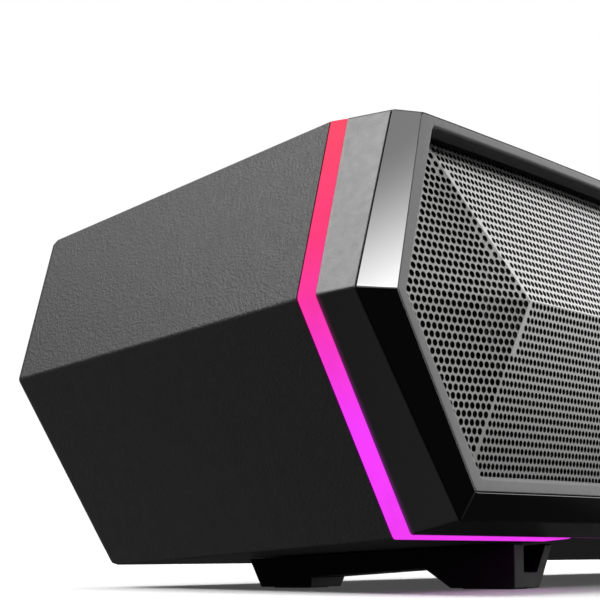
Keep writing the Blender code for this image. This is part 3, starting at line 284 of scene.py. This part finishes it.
SIDES = ("left", "right")
set_material(["rear_housing"], housing, 0.0005, 3)
set_material(["front_collar"], collar, 0.00018)
set_material(["bezel"], gloss, 0.00022, 3)
set_material(["front_frame"], frame_paint, 0.00030, 3, 24)
set_material(["foot_" + s for s in SIDES], foot_plastic, 0.00035, 3)
set_material([f"pad_{e}_{s}" for e in ("front", "rear") for s in SIDES], rubber, 0.00015)
set_material(["light_ring_" + s for s in SIDES], light)
set_material(["port_panel"], panel_plastic, 0.0002)
set_material(["power_socket", "audio_socket"], inner_plastic, 0.00015)
set_material(["baffle", "amplifier_chip"], inner_plastic, 0.0002)
set_material([n for n in NODES if n.startswith("button_") and n != "button_board"], button_plastic)
set_material(["button_board", "main_board"] + ["led_strip_" + s for s in SIDES], board)
set_material([n for n in NODES if n.startswith("screw_")], screw_steel, 0.00012)
set_material(["usb_socket", "heat_sink"], aluminium, 0.0001)
set_material(["capacitor_" + s for s in SIDES], sleeve)
set_material(["voice_coil_" + s for s in SIDES], copper)
set_material([f"driver_{p}_{s}" for p in ("basket", "magnet") for s in SIDES], steel, 0.0002)
set_material([f"driver_{p}_{s}" for p in ("cone", "cap") for s in SIDES] + ["radiator_disc"], cone_paper)
set_material(["driver_surround_" + s for s in SIDES] + ["radiator_surround"], rubber)
for name in ("light_ring_left", "light_ring_right"):
    NODES[name].data.shade_flat()


# Perforated grille, worked out in the bar's own axes

ROW_UPPER, ROW_LOWER = 0.00172, 0.00162  # spacing of the rows, before they are spread to fill a facet
PITCH_FRONT, PITCH_END = 0.00150, 0.00168  # spacing along a row, on the long facets and on the end facets
HOLE_FRONT, HOLE_END = 0.00065, 0.00071  # radii
HOLE_SIDES = 12
SHEET = 0.00045  # thickness that shows in the holes
EDGE_GAP, END_GAP = 0.0003, 0.00033  # to the frame above and below, and at the ends
TOP_Z, BOTTOM_Z = OPEN_TOP[1] - EDGE_GAP, OPEN_BOTTOM[1] + EDGE_GAP

# The closest that a hole's centre comes to an edge of the sheet or to a fold
EDGE_ROW = 0.00075
HIP_INNER, HIP_OUTER = 0.00078, 0.00086
END_MARGIN = 0.00072

HIP_STOP = 0.0015  # the folds end this far from the sheet's corners
END_START = OPEN_BOTTOM[0] - 0.0011  # a hole that the end facets' rows are counted from
WIDE_GAP, SMALL_GAP = 0.00145, 0.0004  # beside a fold: room for one more hole, and too little to share out
HOLES_EACH_WAY, END_HOLES_EACH_WAY = 140, 30  # tried along a row, from which a facet keeps its own
SKIRT_PLACES = 61


def mix(a, b, t):
    return a + (b - a) * t


def front_y(x):
    """The bowed front face."""
    return FRONT_RADIUS - np.sqrt(FRONT_RADIUS**2 - x * x) - FRONT_REACH


def half_width(z):
    """Half the sheet's width at height z."""
    upper = mix(OPEN_CREASE[0], OPEN_TOP[0], (z - OPEN_CREASE[1]) / (OPEN_TOP[1] - OPEN_CREASE[1]))
    lower = mix(OPEN_CREASE[0], OPEN_BOTTOM[0], (z - OPEN_CREASE[1]) / (OPEN_BOTTOM[1] - OPEN_CREASE[1]))
    return np.where(z > OPEN_CREASE[1], upper, lower) - END_GAP


def hip_x(z):
    """Where the fold between a long facet and an end facet crosses height z."""
    up = mix(APEX, half_width(TOP_Z) - HIP_STOP, (z - RIDGE_HEIGHT) / (TOP_Z - RIDGE_HEIGHT))
    down = mix(APEX, half_width(BOTTOM_Z) - HIP_STOP, (RIDGE_HEIGHT - z) / (RIDGE_HEIGHT - BOTTOM_Z))
    return np.where(z > RIDGE_HEIGHT, up, down)


def hip_relief(z):
    """How far the sheet stands in front of the frame's face where a fold crosses height z."""
    up = mix(RIDGE_RISE, -TOP_RECESS, (z - RIDGE_HEIGHT) / (TOP_Z - RIDGE_HEIGHT))
    down = mix(RIDGE_RISE, -BOTTOM_RECESS, (RIDGE_HEIGHT - z) / (RIDGE_HEIGHT - BOTTOM_Z))
    return np.where(z > RIDGE_HEIGHT, up, down)


def end_relief(z):
    """The same at the sheet's ends, which run deeper towards its corners."""
    crease = OPEN_CREASE[1]
    up = mix(-END_RECESS, -TOP_RECESS, ((z - crease) / (TOP_Z - crease)) ** 2)
    down = mix(-END_RECESS, -BOTTOM_RECESS, ((crease - z) / (crease - BOTTOM_Z)) ** 2)
    return np.where(z > crease, up, down)


def surface(x, z, deeper=0.0):
    """Points of the sheet. deeper moves them back into the bar."""
    x, z = np.asarray(x, float), np.asarray(z, float)
    hip, end = hip_x(z), half_width(z)
    t = np.clip((end - np.abs(x)) / np.maximum(end - hip, 1e-6), 0, 1)
    climb = (1 - HIP_CURVE) * t + HIP_CURVE * t * t
    relief = mix(end_relief(z), hip_relief(z), climb)
    return np.stack([x, front_y(x) - relief + deeper, z], axis=-1)


def row_heights():
    """Heights of the rows of holes, and of the lines between them, from the bottom up."""

    def spread(edge, pitch):
        """Rows from the ridge to an edge, which fill that facet evenly."""
        reach = abs(edge - RIDGE_HEIGHT) - EDGE_ROW
        count = round(reach / pitch + 0.5)
        step = reach / (count - 0.5)
        sign = 1 if edge > RIDGE_HEIGHT else -1
        return [RIDGE_HEIGHT + sign * step * (i + 0.5) for i in range(count)]

    down = spread(BOTTOM_Z, ROW_LOWER)[::-1]
    up = spread(TOP_Z, ROW_UPPER)
    rows = down + up
    lines = [BOTTOM_Z] + [(a + b) / 2 for a, b in zip(rows, rows[1:])] + [TOP_Z]
    lines[len(down)] = RIDGE_HEIGHT
    return rows, lines, len(down)


class Sheet:
    """Collects perforated cells as points and faces."""

    def __init__(self):
        self.points, self.faces, self.walls, self.count = [], [], [], 0

    def add(self, points):
        self.points.append(points)
        self.count += len(points)
        return self.count - len(points)

    def cell(self, corners, centre, radius, squeeze):
        """A four-sided cell with a round hole through it. Each side meets a quarter of the ring."""
        n = HOLE_SIDES
        turn = np.arange(n) * 2 * math.pi / n - 3 * math.pi / 4
        ring_x = centre[0] + radius * np.cos(turn)
        ring_z = centre[1] + radius * squeeze * np.sin(turn)
        quad = np.array(corners)
        base = self.add(surface(quad[:, 0], quad[:, 1]))
        ring = self.add(surface(ring_x, ring_z))
        back = self.add(surface(ring_x, ring_z, SHEET))
        step = n // 4
        for k in range(4):
            corner, after = base + k, base + (k + 1) % 4
            arc = [ring + (k * step + i - step // 2) % n for i in range(step + 1)]
            for a, b in zip(arc, arc[1:]):
                self.faces.append((corner, b, a))
                self.walls.append(False)
            self.faces.append((corner, after, arc[-1]))
            self.walls.append(False)
        for i in range(n):
            j = (i + 1) % n
            self.faces.append((ring + i, ring + j, back + j, back + i))
            self.walls.append(True)

    def plain(self, points3d):
        base = self.add(np.array(points3d))
        self.faces.append(tuple(range(base, base + len(points3d))))
        self.walls.append(False)

    def build(self, name):
        mesh = bpy.data.meshes.new(name)
        places = np.concatenate(self.points)
        places = places @ np.array(BODY.to_3x3()).T + np.array(BODY.translation)
        mesh.from_pydata([tuple(p) for p in places], [], self.faces)
        mesh.polygons.foreach_set("use_smooth", self.walls)
        # the walls take the second material, near-black, as painted shade inside the holes
        mesh.polygons.foreach_set("material_index", [int(wall) for wall in self.walls])
        mesh.update()
        obj = bpy.data.objects.new(name, mesh)
        bpy.context.scene.collection.objects.link(obj)
        mesh.materials.append(grille_metal.material)
        mesh.materials.append(hole_wall_painted_shade.material)
        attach(obj, "bar")
        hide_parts("grille")
        return obj


def holes_in_row(index, z):
    """Centres of one row's holes: (long facets, one end). The rows alternate by half a step."""
    hip, end = float(hip_x(z)), float(half_width(z))
    shift = 0.5 * (index % 2)
    front = [k * PITCH_FRONT for k in np.arange(-HOLES_EACH_WAY + shift, HOLES_EACH_WAY)]
    front = [x for x in front if abs(x) < hip - HIP_INNER]
    ends = [END_START + k * PITCH_END for k in np.arange(-END_HOLES_EACH_WAY + shift, END_HOLES_EACH_WAY)]
    ends = [x for x in ends if hip + HIP_OUTER < x < end - END_MARGIN]
    if ends:
        gap = ends[0] - (hip + HIP_OUTER)
        if gap > WIDE_GAP:
            ends.insert(0, hip + HIP_OUTER)
        elif gap > SMALL_GAP:
            ends[0] -= gap / 2
    return front, ends


def cell_corners(first, last, low, high):
    """The corners of a cell between heights low and high. first and last are its sides' x at each height."""
    return [(first[0], low), (last[0], low), (last[1], high), (first[1], high)]


def row_of_cells(sheet, holes, z, low, high, sides, radius, squeeze):
    """One row of cells between two sides, each an x at low and at high, cut halfway between the holes."""
    cuts = [(a + b) / 2 for a, b in zip(holes, holes[1:])]
    edges = [sides[0], *((cut, cut) for cut in cuts), sides[1]]
    for x, first, last in zip(holes, edges, edges[1:]):
        sheet.cell(cell_corners(first, last, low, high), (x, z), radius, squeeze)


def x_pair(place, low, high):
    """x of a fold or of the sheet's end at two heights."""
    return float(place(low)), float(place(high))


def mirrored(pair):
    return -pair[0], -pair[1]


def make_grille():
    rows, lines, below = row_heights()
    lower, upper = Sheet(), Sheet()
    end_sheets = {-1: Sheet(), 1: Sheet()}
    slopes = {
        False: (BOTTOM_RECESS + RIDGE_RISE) / (RIDGE_HEIGHT - BOTTOM_Z),
        True: (TOP_RECESS + RIDGE_RISE) / (TOP_Z - RIDGE_HEIGHT),
    }
    for i, z in enumerate(rows):
        low, high = lines[i], lines[i + 1]
        above = i >= below
        squeeze = math.cos(math.atan(slopes[above]))
        front, ends = holes_in_row(i - below, z)
        hip, end = x_pair(hip_x, low, high), x_pair(half_width, low, high)
        sheet = upper if above else lower
        row_of_cells(sheet, front, z, low, high, (mirrored(hip), hip), HOLE_FRONT, squeeze)
        right, left = (hip, end), (mirrored(end), mirrored(hip))
        if ends:
            row_of_cells(end_sheets[1], ends, z, low, high, right, HOLE_END, squeeze)
            row_of_cells(end_sheets[-1], [-x for x in ends[::-1]], z, low, high, left, HOLE_END, squeeze)
            continue
        for side, pairs in ((-1, left), (1, right)):
            corners = cell_corners(*pairs, low, high)
            end_sheets[side].plain(surface([c[0] for c in corners], [c[1] for c in corners]))
    add_skirts(lower, upper, end_sheets, lines)
    lower.build("grille_lower_facet")
    upper.build("grille_upper_facet")
    end_sheets[-1].build("grille_end_facet_left")
    end_sheets[1].build("grille_end_facet_right")


def skirt_point(x, z):
    """The rear edge of the skirt behind a point of the sheet's rim."""
    return np.array([x, float(front_y(np.float64(x))) + SKIRT_DEPTH, z])


def add_skirts(lower, upper, end_sheets, lines):
    """The sheet's edges, folded back into the bar."""
    for sheet, z, flip in ((lower, BOTTOM_Z, False), (upper, TOP_Z, True)):
        reach = float(hip_x(z))
        places = np.linspace(-reach, reach, SKIRT_PLACES)
        for a, b in zip(places, places[1:]):
            quad = [surface(a, z), skirt_point(a, z), skirt_point(b, z), surface(b, z)]
            sheet.plain(quad[::-1] if flip else quad)
    for side, sheet in end_sheets.items():
        for z, flip in ((BOTTOM_Z, side < 0), (TOP_Z, side > 0)):
            inner, outer = side * float(hip_x(z)), side * float(half_width(z))
            quad = [surface(inner, z), skirt_point(inner, z), skirt_point(outer, z), surface(outer, z)]
            sheet.plain(quad[::-1] if flip else quad)
        heights = sorted(set(lines) | {OPEN_CREASE[1]})
        for a, b in zip(heights, heights[1:]):
            xa, xb = side * float(half_width(a)), side * float(half_width(b))
            quad = [surface(xa, a), skirt_point(xa, a), skirt_point(xb, b), surface(xb, b)]
            sheet.plain(quad if side > 0 else quad[::-1])


make_grille()


# Room: a pale floor, and soft boxes in a dark studio whose backdrop is white


def soft_box(tree, azimuth, widths, elevations, strength):
    """A soft-edged light in the sky.

    It is full within widths[0] degrees of azimuth on each side and gone at widths[1]. It comes in between
    the first two elevations, and goes out between the last two.
    """
    nodes, links = tree.nodes, tree.links

    def window(value, gone, full):
        ranged = nodes.new("ShaderNodeMapRange")
        ranged.interpolation_type = "SMOOTHSTEP"
        ranged.inputs["From Min"].default_value = gone
        ranged.inputs["From Max"].default_value = full
        links.new(value, ranged.inputs["Value"])
        return ranged.outputs["Result"]

    def times(first, second):
        product = nodes.new("ShaderNodeMath")
        product.operation = "MULTIPLY"
        links.new(first, product.inputs[0])
        if isinstance(second, float):
            product.inputs[1].default_value = second
        else:
            links.new(second, product.inputs[1])
        return product.outputs["Value"]

    coords = nodes.new("ShaderNodeTexCoord").outputs["Generated"]
    split = nodes.new("ShaderNodeSeparateXYZ")
    links.new(coords, split.inputs["Vector"])
    flat = nodes.new("ShaderNodeVectorMath")
    flat.operation = "MULTIPLY"
    flat.inputs[1].default_value = (1, 1, 0)
    links.new(coords, flat.inputs[0])
    unit = nodes.new("ShaderNodeVectorMath")
    unit.operation = "NORMALIZE"
    links.new(flat.outputs["Vector"], unit.inputs[0])
    dot = nodes.new("ShaderNodeVectorMath")
    dot.operation = "DOT_PRODUCT"
    turn = math.radians(azimuth)
    dot.inputs[1].default_value = (math.cos(turn), math.sin(turn), 0)
    links.new(unit.outputs["Vector"], dot.inputs[0])
    across = window(dot.outputs["Value"], *(math.cos(math.radians(w)) for w in reversed(widths)))
    height = split.outputs["Z"]
    low = window(height, math.sin(math.radians(elevations[0])), math.sin(math.radians(elevations[1])))
    high = window(height, math.sin(math.radians(elevations[3])), math.sin(math.radians(elevations[2])))
    return times(times(across, times(low, high)), float(strength))


def make_world(boxes, base):
    """Soft boxes round a dark studio. The camera itself sees a white backdrop."""
    world = bpy.data.worlds.new("studio")
    bpy.context.scene.world = world
    world.use_nodes = True
    tree = world.node_tree
    tree.nodes.clear()
    total = None
    for box in boxes:
        value = soft_box(tree, *box)
        add = tree.nodes.new("ShaderNodeMath")
        if total is None:
            add.inputs[1].default_value = base
        else:
            tree.links.new(total, add.inputs[1])
        tree.links.new(value, add.inputs[0])
        total = add.outputs["Value"]
    lit = tree.nodes.new("ShaderNodeBackground")
    tree.links.new(total, lit.inputs["Strength"])
    lit.inputs["Color"].default_value = (1, 1, 1, 1)
    seen = tree.nodes.new("ShaderNodeBackground")
    seen.inputs["Color"].default_value = (1, 1, 1, 1)
    path = tree.nodes.new("ShaderNodeLightPath")
    blend = tree.nodes.new("ShaderNodeMixShader")
    out = tree.nodes.new("ShaderNodeOutputWorld")
    tree.links.new(path.outputs["Is Camera Ray"], blend.inputs["Fac"])
    tree.links.new(lit.outputs["Background"], blend.inputs[1])
    tree.links.new(seen.outputs["Background"], blend.inputs[2])
    tree.links.new(blend.outputs["Shader"], out.inputs["Surface"])


# Azimuth, (full, gone) widths beside it, (gone, full, full, gone) elevations, in degrees, and strength
SOFT_BOXES = [
    (148, (12, 62), (20, 58, 80, 90), 8.2),  # big box up behind the left end
    (-88, (12, 30), (26, 30.5, 23.9, 37.2), 19.0),  # front box that the bezel mirrors
    (-88, (16, 36), (17, 25, 50, 80), 1.6),  # its soft upper part
    (-8, (14, 34), (-4, 10, 27, 46), 2.0),  # lights the grille's upper facet and the frame
    (-44, (10, 26), (-12, 2, 24, 40), 0.74),  # low, for the grille's lower and end facets
    (108, (25, 70), (-88, -60, -20, -2), 0.27),  # pale floor, seen in the lower facets
    (30, (20, 60), (-14, -6, 0, 8), 0.25),  # far floor, seen in the underside
    (90, (178, 180), (40, 75, 89, 90), 0.5),  # overhead
]
DARK_STUDIO = 0.015  # what is left between the boxes

make_world(SOFT_BOXES, DARK_STUDIO)


FLOOR_REACH = 30.0


def make_floor():
    """Pale paper. It lights nothing: the soft boxes below the horizon stand in for its light."""
    mesh = bpy.data.meshes.new("floor")
    corners = [(x * FLOOR_REACH, y * FLOOR_REACH, 0) for x, y in ((-1, -1), (1, -1), (1, 1), (-1, 1))]
    mesh.from_pydata(corners, [], [(0, 1, 2, 3)])
    floor = bpy.data.objects.new("floor", mesh)
    bpy.context.scene.collection.objects.link(floor)
    mat = Mat("floor_paper", (0.80, 0.80, 0.80), 0.6)
    mat.bsdf.inputs["Emission Color"].default_value = (1, 1, 1, 1)
    mat.bsdf.inputs["Emission Strength"].default_value = 0.06
    mat.bsdf.inputs["Specular IOR Level"].default_value = 0.25
    mesh.materials.append(mat.material)
    floor.visible_glossy = False
    floor.visible_diffuse = False
    floor.visible_shadow = False


make_floor()

# Camera, at the photograph's viewing angle: low in front of the left end, looking slightly up

CAMERA_PLACE = (-0.41833, -0.18343, 0.00909)
CAMERA_AHEAD = (0.80460377, 0.57000923, 0.16643993)
CAMERA_ROLL = math.radians(0.221)
LENS = 87.95  # mm


def make_camera():
    camera = bpy.data.objects.new("camera", bpy.data.cameras.new("camera"))
    bpy.context.scene.collection.objects.link(camera)
    camera.data.sensor_width = 36.0
    camera.data.lens = LENS
    camera.data.clip_start = 0.01
    camera.data.clip_end = 200.0
    ahead = Vector(CAMERA_AHEAD).normalized()
    level = ahead.cross(Vector((0, 0, 1))).normalized()
    above = level.cross(ahead)
    right = level * math.cos(CAMERA_ROLL) + above * math.sin(CAMERA_ROLL)
    upward = above * math.cos(CAMERA_ROLL) - level * math.sin(CAMERA_ROLL)
    turn = Matrix((right, upward, -ahead)).transposed().to_4x4()
    camera.matrix_world = Matrix.Translation(CAMERA_PLACE) @ turn
    bpy.context.scene.camera = camera


make_camera()
bpy.context.scene.view_settings.view_transform = "Standard"
